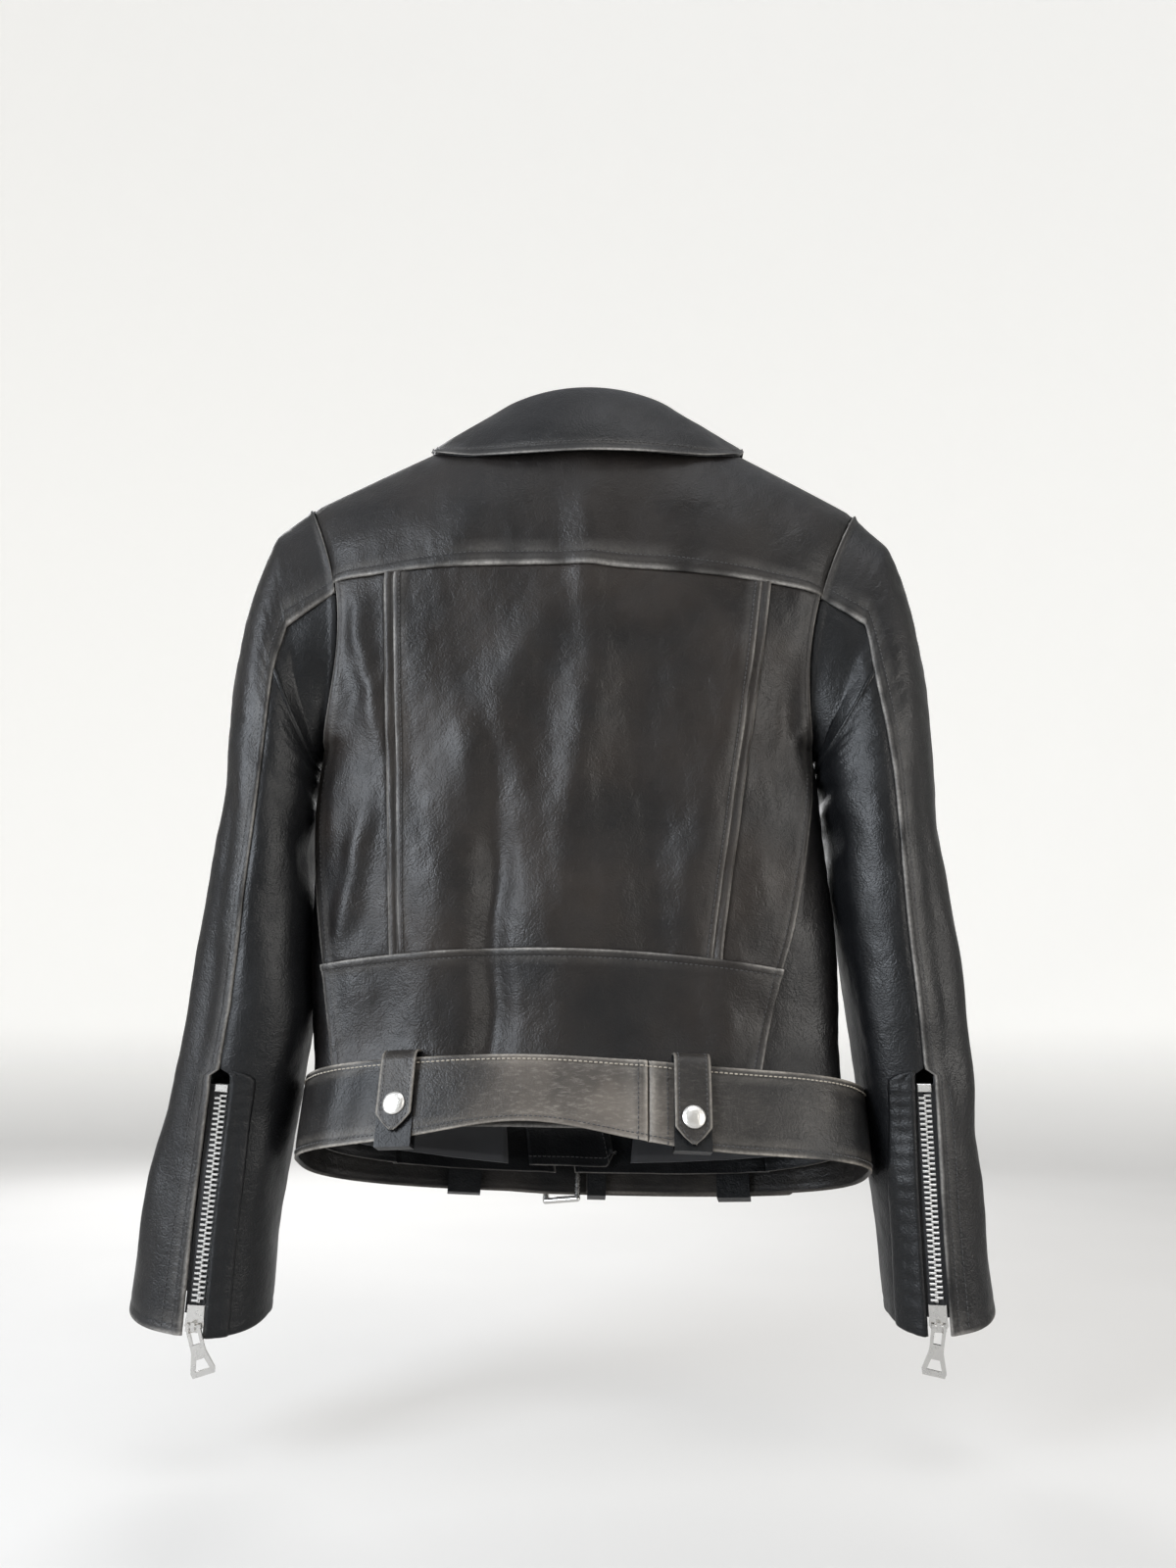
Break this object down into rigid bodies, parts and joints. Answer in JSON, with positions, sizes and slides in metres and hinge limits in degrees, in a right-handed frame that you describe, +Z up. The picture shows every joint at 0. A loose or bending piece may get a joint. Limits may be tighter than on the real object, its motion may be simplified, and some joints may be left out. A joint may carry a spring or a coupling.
{
  "type": "leather riding jacket",
  "caption": "Cropped leather riding jacket with panelled back, folded collar, slanted front zip, zipped cuffs and a buckled hem belt, hanging with its sleeves down.",
  "frame": {"origin": "centre of the hanging loop's bore, inside the back of the neck", "axes": "+Z up with the jacket hanging, +Y out of its back, +X towards the wearer's left"},
  "size_m": [0.5501, 0.1694, 0.6662],
  "materials": {
    "leather": "soft aniline black, worn",
    "belt_leather": "thicker black leather, rubbed brown-grey",
    "lining": "satin",
    "zip_tape": "woven",
    "nickel": "bright nickel plate",
    "pearl_nickel": "satin nickel"
  },
  "bodies": {
    "jacket_body": {"back_yoke": "leather", "back_centre_panel": "leather", "back_side_panel_left": "leather", "back_side_panel_right": "leather", "back_waist_panel": "leather", "side_panel_left": "leather", "side_panel_right": "leather", "front_panel_left": "leather", "front_panel_right": "leather", "front_underlap": "leather", "lapel_left": "leather", "lapel_right": "leather", "lapel_snap_left": "nickel", "lapel_snap_right": "nickel", "collar_stand": "leather", "collar_fall": "leather", "collar_snaps": "nickel", "front_zip_tape": "zip_tape", "front_zip_teeth": "nickel", "pocket_zip_left": "nickel", "pocket_zip_right": "nickel", "pocket_bags": "lining", "coin_pocket": "leather", "belt_buckle_strap": "belt_leather", "belt_tip_strap": "belt_leather", "belt_keeper": "belt_leather", "belt_loops_front": "belt_leather", "belt_loops_back": "belt_leather", "body_lining": "lining", "hanging_loop": "leather"},
    "left_sleeve": {"top_sleeve_left": "leather", "under_sleeve_left": "leather", "sleeve_gusset_left": "leather", "sleeve_lining_left": "lining", "sleeve_zip_tape_left": "zip_tape", "sleeve_zip_teeth_left": "nickel"},
    "right_sleeve": {"top_sleeve_right": "leather", "under_sleeve_right": "leather", "sleeve_gusset_right": "leather", "sleeve_lining_right": "lining", "sleeve_zip_tape_right": "zip_tape", "sleeve_zip_teeth_right": "nickel"},
    "left_sleeve_slider": {"sleeve_zip_slider_left": "nickel"},
    "left_sleeve_puller": {"sleeve_zip_puller_left": "nickel"},
    "right_sleeve_slider": {"sleeve_zip_slider_right": "nickel"},
    "right_sleeve_puller": {"sleeve_zip_puller_right": "nickel"},
    "front_slider": {"front_zip_slider": "nickel"},
    "front_puller": {"front_zip_puller": "nickel"},
    "left_pocket_slider": {"pocket_slider_left": "nickel"},
    "left_pocket_puller": {"pocket_puller_left": "nickel"},
    "right_pocket_slider": {"pocket_slider_right": "nickel"},
    "right_pocket_puller": {"pocket_puller_right": "nickel"},
    "buckle": {"buckle_frame": "nickel"},
    "prong": {"buckle_prong": "nickel"},
    "left_loop_tab": {"loop_tab_left": "belt_leather", "tab_snap_left": "pearl_nickel"},
    "right_loop_tab": {"loop_tab_right": "belt_leather", "tab_snap_right": "pearl_nickel"},
    "coin_flap": {"coin_pocket_flap": "leather", "coin_pocket_snap": "nickel"}
  },
  "joints": [
    {"name": "left_sleeve_swing", "type": "hinge", "parent": "jacket_body", "child": "left_sleeve", "pos_m": [0.18929, -0.035, -0.205], "axis": [-0.9956, 0, 0.0936], "range_deg": [-12, 30]},
    {"name": "right_sleeve_swing", "type": "hinge", "parent": "jacket_body", "child": "right_sleeve", "pos_m": [-0.16524, -0.035, -0.205], "axis": [-0.9792, 0, -0.2027], "range_deg": [-12, 30]},
    {"name": "left_sleeve_zip_slide", "type": "slide", "parent": "left_sleeve", "child": "left_sleeve_slider", "axis": [-0.0674, 0.0534, 0.9963], "range_m": [0, 0.108], "deforming": ["sleeve_zip_teeth_left"]},
    {"name": "left_sleeve_puller_hinge", "type": "hinge", "parent": "left_sleeve_slider", "child": "left_sleeve_puller", "pos_m": [0.24163, 0.00651, -0.61124], "axis": [0.9961, 0.061, 0.0641], "range_deg": [-5, 165]},
    {"name": "right_sleeve_zip_slide", "type": "slide", "parent": "right_sleeve", "child": "right_sleeve_slider", "axis": [0.019, 0.0608, 0.998], "range_m": [0, 0.108], "deforming": ["sleeve_zip_teeth_right"]},
    {"name": "right_sleeve_puller_hinge", "type": "hinge", "parent": "right_sleeve_slider", "child": "right_sleeve_puller", "pos_m": [-0.21506, 0.00523, -0.61149], "axis": [0.9767, -0.2143, -0.0055], "range_deg": [-5, 165]},
    {"name": "front_zip_slide", "type": "slide", "parent": "jacket_body", "child": "front_slider", "axis": [-0.1413, -0.0401, -0.9892], "range_m": [0, 0.195], "deforming": ["front_zip_teeth"]},
    {"name": "front_puller_hinge", "type": "hinge", "parent": "front_slider", "child": "front_puller", "pos_m": [0.05705, -0.08976, -0.24301], "axis": [-0.9898, -0.0146, 0.142], "range_deg": [0, 165]},
    {"name": "left_pocket_zip_slide", "type": "slide", "parent": "jacket_body", "child": "left_pocket_slider", "axis": [-0.3794, -0.0538, 0.9237], "range_m": [0, 0.084], "deforming": ["pocket_zip_left"]},
    {"name": "left_pocket_puller_hinge", "type": "hinge", "parent": "left_pocket_slider", "child": "left_pocket_puller", "pos_m": [0.14149, -0.08417, -0.4223], "axis": [-0.9033, -0.1947, -0.3823], "range_deg": [0, 165]},
    {"name": "right_pocket_zip_slide", "type": "slide", "parent": "jacket_body", "child": "right_pocket_slider", "axis": [0.3795, -0.0482, 0.9239], "range_m": [0, 0.084], "deforming": ["pocket_zip_right"]},
    {"name": "right_pocket_puller_hinge", "type": "hinge", "parent": "right_pocket_slider", "child": "right_pocket_puller", "pos_m": [-0.12757, -0.08335, -0.42228], "axis": [-0.8977, 0.2224, 0.3803], "range_deg": [0, 165]},
    {"name": "buckle_frame_hinge", "type": "hinge", "parent": "jacket_body", "child": "buckle", "pos_m": [0.00699, -0.10205, -0.51969], "axis": [0.0216, 0.309, -0.9508], "range_deg": [0, 25]},
    {"name": "buckle_prong_hinge", "type": "hinge", "parent": "buckle", "child": "prong", "pos_m": [0.00699, -0.10205, -0.51969], "axis": [0.0216, 0.309, -0.9508], "range_deg": [0, 40]},
    {"name": "left_loop_tab_hinge", "type": "hinge", "parent": "jacket_body", "child": "left_loop_tab", "pos_m": [0.11645, 0.01127, -0.44409], "axis": [0.9782, -0.203, -0.0438], "range_deg": [0, 95]},
    {"name": "right_loop_tab_hinge", "type": "hinge", "parent": "jacket_body", "child": "right_loop_tab", "pos_m": [-0.06443, 0.01744, -0.44619], "axis": [0.9971, 0.0627, 0.043], "range_deg": [0, 95]},
    {"name": "coin_flap_hinge", "type": "hinge", "parent": "jacket_body", "child": "coin_flap", "pos_m": [0.07236, -0.09752, -0.42589], "axis": [-0.9967, -0.0808, 0.0006], "range_deg": [0, 100]}
  ]
}
